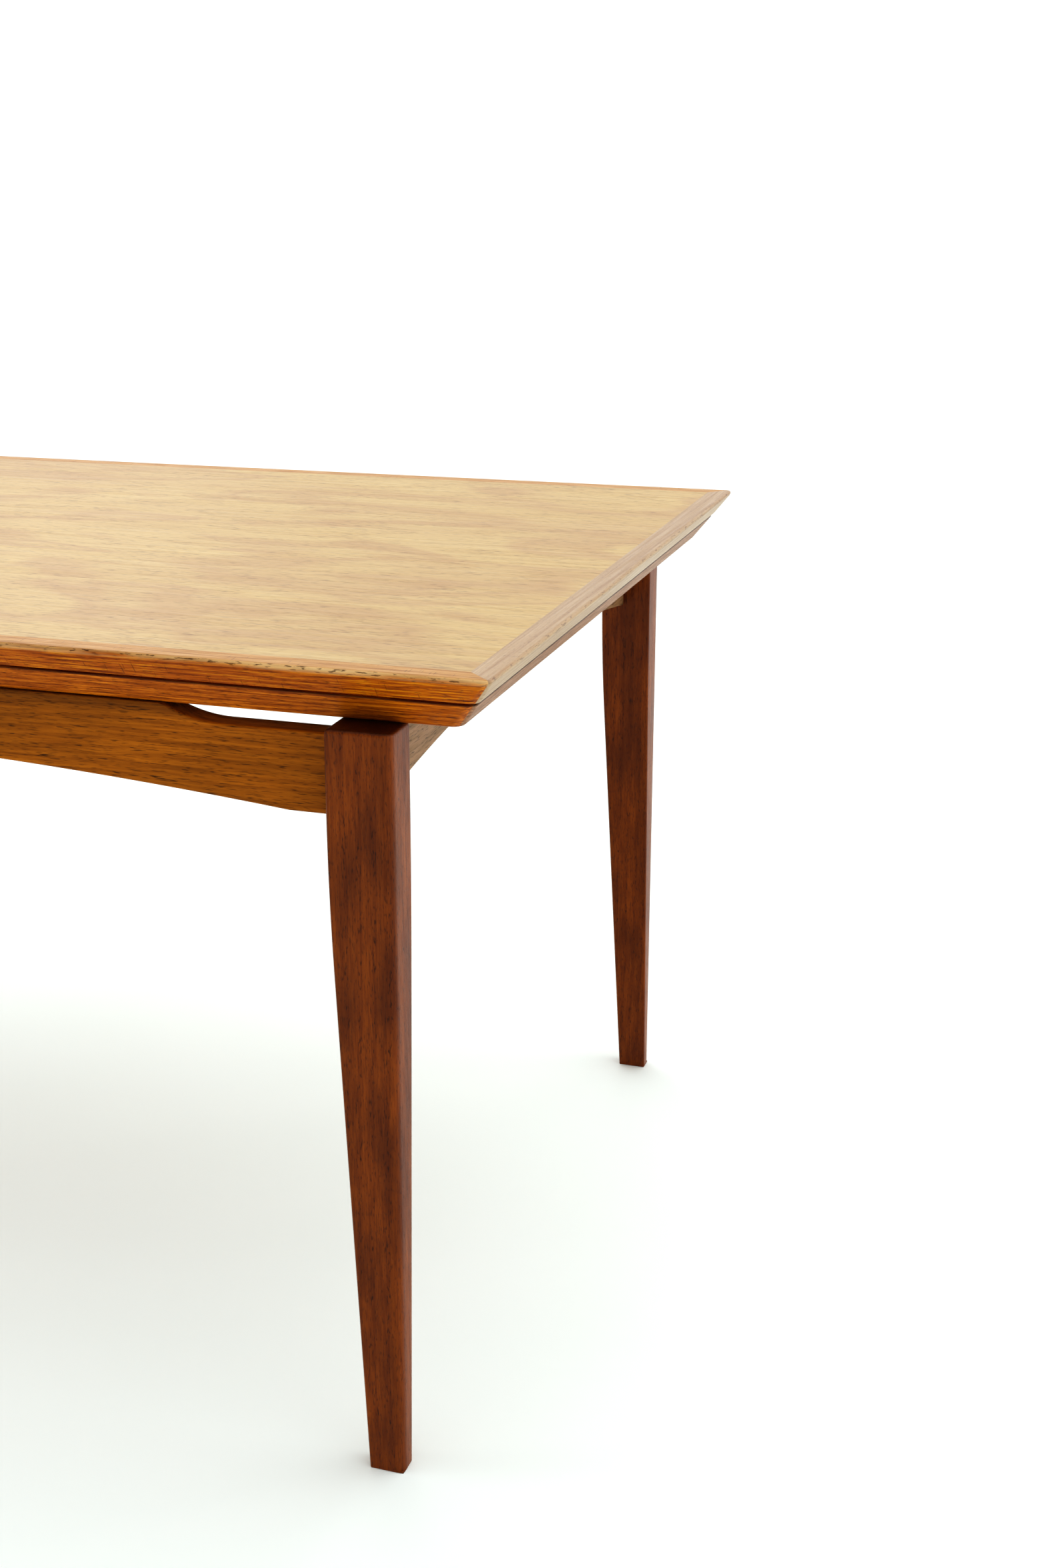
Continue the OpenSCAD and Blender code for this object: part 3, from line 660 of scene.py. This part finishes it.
legShape = {
    "kneeHeight": 540, "kneeSoft": 70,  # the taper starts in a gentle curve
    "outerRadius": 9, "topRadius": 4.0, "edgeRadius": 2.0, "footRadius": 1.0,
    "cornerTurn": 57,  # degrees; edges that turn less lie along the curve of the taper
    "cuts": 14,
}


def legInset(height, slope):
    # how far an inner face has come in at a height
    knee, soft = legShape["kneeHeight"] * mm, legShape["kneeSoft"] * mm
    if height >= knee + soft:
        return 0.0
    if height <= knee - soft:
        return slope * (knee - height)
    return slope * (knee + soft - height) ** 2 / (4 * soft)


def taperedLeg(node):
    low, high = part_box(node)
    footLow, footHigh = spanAt(node, low.z)
    size, foot = high - low, footHigh - footLow
    signs = [1 if low[i] > 0 else -1 for i in (0, 1)]
    knee, soft = legShape["kneeHeight"] * mm, legShape["kneeSoft"] * mm
    bm = bmesh.new()
    bmesh.ops.create_cube(bm, size=1)
    for vert in bm.verts:
        vert.co = Vector([(vert.co[i] + 0.5) * size[i] for i in range(3)])
    for step in range(legShape["cuts"] + 1):
        height = knee - soft + 2 * soft * step / legShape["cuts"]
        bmesh.ops.bisect_plane(bm, geom=bm.verts[:] + bm.edges[:] + bm.faces[:],
                               plane_co=(0, 0, height), plane_no=(0, 0, 1))
    # here x and y run from the outer faces inwards
    for vert in bm.verts:
        for i in (0, 1):
            if vert.co[i] > size[i] / 2:
                vert.co[i] -= legInset(vert.co.z, (size[i] - foot[i]) / knee)

    def rounding(edge):
        ends = [v.co for v in edge.verts]
        upright = abs(ends[0].z - ends[1].z) > tolerance["touching"] * mm
        corner = turnOf(edge) > math.radians(legShape["cornerTurn"])
        if upright and corner:
            outer = all(abs(p[i]) < tolerance["samePlace"] * mm for p in ends for i in (0, 1))
            return legShape["outerRadius"] if outer else legShape["edgeRadius"]
        if corner:
            atTop = ends[0].z > size.z / 2
            return legShape["topRadius"] if atTop else legShape["footRadius"]
        return 0

    bm.verts.index_update()
    marked = {frozenset(v.index for v in e.verts): rounding(e) for e in bm.edges}
    outer = [high[i] if signs[i] > 0 else low[i] for i in (0, 1)]
    for vert in bm.verts:
        vert.co.x = outer[0] - signs[0] * vert.co.x
        vert.co.y = outer[1] - signs[1] * vert.co.y
    # two of the four legs are mirror images, so their faces are turned outwards again
    bm.normal_update()
    bmesh.ops.recalc_face_normals(bm, faces=bm.faces)
    return makePiece(node + "_shaped", bm, [node],
                     lambda e: marked[frozenset(v.index for v in e.verts)])


for node in [n for n in frame["nodes"] if n.startswith("leg_")]:
    taperedLeg(node)
print("legs shaped")


layerShapes = {
    "top": {"corner": 7.0, "upper": 3.2, "lower": 1.8, "segments": 6},
    "leaf": {"corner": 8.0, "upper": 1.2, "lower": 4.0, "segments": 6},
}


def cut(bm, place, normal):
    # cuts away what lies beyond a plane and closes the cut
    made = bmesh.ops.bisect_plane(bm, geom=bm.verts[:] + bm.edges[:] + bm.faces[:],
                                  dist=tolerance["onPlane"] * mm,
                                  plane_co=place, plane_no=normal, clear_outer=True)
    edges = [g for g in made["geom_cut"] if isinstance(g, bmesh.types.BMEdge)]
    bmesh.ops.edgeloop_fill(bm, edges=edges)


def roundedSlab(shape, low, high, upper, lower):
    # a layer's whole outline, undercut all round, with every outer edge rounded
    bm = bmesh.new()
    bmesh.ops.create_cube(bm, size=2)
    for vert in bm.verts:
        half = upper if vert.co.z > 0 else lower
        vert.co = (vert.co.x * half[0], vert.co.y * half[1], high if vert.co.z > 0 else low)
    middle = (low + high) / 2
    corners = [e for e in bm.edges if (e.verts[0].co.z - middle) * (e.verts[1].co.z - middle) < 0]
    roundEdges(bm, corners, shape["corner"] * mm, shape["segments"])
    for height, radius in ((high, shape["upper"]), (low, shape["lower"])):
        touching = tolerance["touching"] * mm
        rim = [e for e in bm.edges if all(abs(v.co.z - height) < touching for v in e.verts)]
        roundEdges(bm, rim, radius * mm, shape["segments"])
    return bm


def edgePiece(node, shape, side, innerCut=None):
    # one length of the layer's edge, mitred where it meets its neighbours
    low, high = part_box(node)
    upperSpan = spanAt(node, high.z)
    out = Vector((side[0], side[1], 0))
    along = Vector((abs(side[1]), abs(side[0]), 0))
    upper, lower = outlines[shape]
    bm = roundedSlab(layerShapes[shape], low.z, high.z, upper, lower)
    inner = min(abs(upperSpan[0].dot(out)), abs(upperSpan[1].dot(out)))
    cut(bm, out * inner, -out)
    halfOut, halfAlong = (upper[1], upper[0]) if side[1] else (upper[0], upper[1])
    for sign in (1, -1):
        cut(bm, out * halfOut + along * halfAlong * sign, along * sign - out)
    if innerCut:
        cut(bm, *innerCut)
    bmesh.ops.recalc_face_normals(bm, faces=bm.faces)
    return makePiece(node + "_shaped", bm, [node])


def outlineOf(nodes):
    # half length and half width of a layer at its upper and lower faces
    low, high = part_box(nodes[0])
    found = []
    for height in (high.z, low.z):
        spans = [spanAt(n, height) for n in nodes]
        found.append([max(abs(c[i]) for s in spans for c in s) for i in (0, 1)])
    return found


outlines = {
    "top": outlineOf(["top_lipping_front", "top_end_band_right"]),
    "leaf": outlineOf(["leaf_right_lipping_front", "leaf_right_end_band"]),
}
sides = {"front": (0, -1), "back": (0, 1), "right": (1, 0), "left": (-1, 0)}
for sideName in ("front", "back"):
    edgePiece("top_lipping_" + sideName, "top", sides[sideName])
for sideName in ("right", "left"):
    edgePiece("top_end_band_" + sideName, "top", sides[sideName])
    sign = sides[sideName][0]
    # the leaf's inner end leans under the next layer
    node = "leaf_%s_lipping_front" % sideName
    low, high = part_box(node)
    nearest = [min(abs(c.x) for c in spanAt(node, h)) for h in (high.z, low.z)]
    place = (sign * nearest[0], 0, high.z)
    normal = Vector((-sign * (high.z - low.z), 0, nearest[0] - nearest[1]))
    for lipping in ("front", "back"):
        edgePiece("leaf_%s_lipping_%s" % (sideName, lipping), "leaf", sides[lipping], (place, normal))
    edgePiece("leaf_%s_end_band" % sideName, "leaf", sides[sideName])
print("lippings and bands shaped")


# radius of the softened edges, and the shortest edge that is one of them, in mm
softEdges = {
    "side_apron": (2.2, 3), "end_apron": (2.2, 3), "cross_rail": (1.0, 7), "corner_block": (1.2, 7),
    "loper": (1.4, 7), "inner_lipping": (0.9, 7), "centre_lipping": (1.2, 7),
    "guide_pegs": (1.2, 0.3), "stop_pegs": (0.9, 0.3),
}
softTurn = 40  # degrees; a lesser turn is part of a curve
apronSharp = {"end": 22, "top": 12, "upright": 20}  # mm; edges beside the tenons stay sharp


def softEdge(radius, shortest, chosen=None):
    # rounds the sharp edges that are long enough not to belong to a bore
    def rounding(edge):
        if turnOf(edge) < math.radians(softTurn) or edge.calc_length() < shortest * mm:
            return 0
        if chosen and not chosen(edge):
            return 0
        return radius
    return rounding


def archEdge(node):
    # an apron's lower edge and hand slots: what isn't at its ends or its top
    low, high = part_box(node)
    out = 1 if high.x - low.x < high.y - low.y else 0
    length = max(abs(low[out]), abs(high[out]))
    near = tolerance["sameHeight"] * mm
    end, top, tall = (apronSharp[k] * mm for k in ("end", "top", "upright"))

    def chosen(edge):
        ends = [v.co for v in edge.verts]
        outside = all(min(abs(p[1 - out] - low[1 - out]), abs(p[1 - out] - high[1 - out])) < near
                      for p in ends)
        inside = all(abs(p[out]) < length - end or p.z < high.z - top for p in ends)
        atTop = all(p.z > high.z - near for p in ends)
        upright = abs(ends[0].z - ends[1].z) > tall
        return outside and inside and not atTop and not upright
    return chosen


for node in list(frame["nodes"]):
    for family, (radius, shortest) in softEdges.items():
        if family in node and "screw" not in node:
            chosen = archEdge(node) if "apron" in family else None
            makePiece(node + "_shaped", nodeCopy(node), [node], softEdge(radius, shortest, chosen))
print("aprons, rails and lopers softened")


# mm; a point this share of the width from the middle is on the head
screwShape = {"slotWidth": 1.1, "slotDepth": 1.2, "slotMargin": 0.7, "sides": 32, "headShare": 0.45}


def solidsOf(node):
    # the separate solids of a node, each as a list of points
    bm = nodeCopy(node)
    left = set(bm.verts)
    found = []
    while left:
        group, reached = set(), [left.pop()]
        while reached:
            vert = reached.pop()
            group.add(vert)
            for link in vert.link_edges:
                other = link.other_vert(vert)
                if other in left:
                    left.discard(other)
                    reached.append(other)
        found.append([v.co.copy() for v in group])
    bm.free()
    return found


def slottedScrew(bm, points):
    # shank and slotted head, turned to where the points lie
    low = Vector([min(p[i] for p in points) for i in range(3)])
    high = Vector([max(p[i] for p in points) for i in range(3)])
    size, centre = high - low, (low + high) / 2
    axis = max(range(3), key=lambda i: size[i])
    wide = max(size[i] for i in range(3) if i != axis)
    across = [i for i in range(3) if i != axis]
    far = wide * screwShape["headShare"]
    rims = [p for p in points if max(abs(p[i] - centre[i]) for i in across) > far]
    headSide = 1 if sum(p[axis] for p in rims) / len(rims) > centre[axis] else -1
    headHeight = max(p[axis] for p in rims) - min(p[axis] for p in rims)
    thin = min(math.dist([p[i] for i in across], [centre[i] for i in across]) for p in points)
    radius, length = wide / 2, size[axis]
    head = bmesh.new()
    bmesh.ops.create_circle(head, cap_ends=True, segments=screwShape["sides"], radius=radius)
    half, reach = screwShape["slotWidth"] / 2 * mm, radius - screwShape["slotMargin"] * mm
    for place, normal in (((0, half, 0), (0, 1, 0)), ((0, -half, 0), (0, 1, 0)),
                          ((reach, 0, 0), (1, 0, 0)), ((-reach, 0, 0), (1, 0, 0))):
        bmesh.ops.bisect_plane(head, geom=head.verts[:] + head.edges[:] + head.faces[:],
                               plane_co=place, plane_no=normal)
    slotFace = min(head.faces, key=lambda f: f.calc_center_median().length)
    rim = [e for e in head.edges if e.is_boundary]
    sunk = bmesh.ops.extrude_face_region(head, geom=[slotFace])
    bmesh.ops.translate(head, vec=(0, 0, -screwShape["slotDepth"] * mm),
                        verts=[g for g in sunk["geom"] if isinstance(g, bmesh.types.BMVert)])
    bmesh.ops.delete(head, geom=[slotFace], context="FACES_ONLY")
    for widthNow, drop in ((radius, headHeight), (thin, 0), (thin, length - headHeight)):
        walls = bmesh.ops.extrude_edge_only(head, edges=rim)
        verts = [g for g in walls["geom"] if isinstance(g, bmesh.types.BMVert)]
        rim = [g for g in walls["geom"] if isinstance(g, bmesh.types.BMEdge)]
        for vert in verts:
            flat = Vector((vert.co.x, vert.co.y, 0))
            vert.co = flat.normalized() * widthNow + Vector((0, 0, vert.co.z - drop))
    bmesh.ops.edgeloop_fill(head, edges=rim)
    bmesh.ops.remove_doubles(head, verts=head.verts, dist=tolerance["touching"] * mm)
    bmesh.ops.recalc_face_normals(head, faces=head.faces)
    facing = Vector([headSide if i == axis else 0 for i in range(3)])
    turn = facing.to_track_quat("Z", "Y").to_matrix().to_4x4()
    top = centre + facing * length / 2
    bmesh.ops.transform(head, matrix=Matrix.Translation(top) @ turn, verts=head.verts)
    part = bpy.data.meshes.new("screw")
    head.to_mesh(part)
    head.free()
    bm.from_mesh(part)
    bpy.data.meshes.remove(part)


for node in [n for n in frame["nodes"] if n.endswith("screws")]:
    bm = bmesh.new()
    for points in solidsOf(node):
        slottedScrew(bm, points)
    makePiece(node + "_slotted", bm, [node])
print("screws made")


for node, piece in frame["nodes"].items():
    if not piece.hide_render:
        piece.data.materials.clear()
        piece.data.materials.append(finishFor(node))
print("remaining nodes finished")
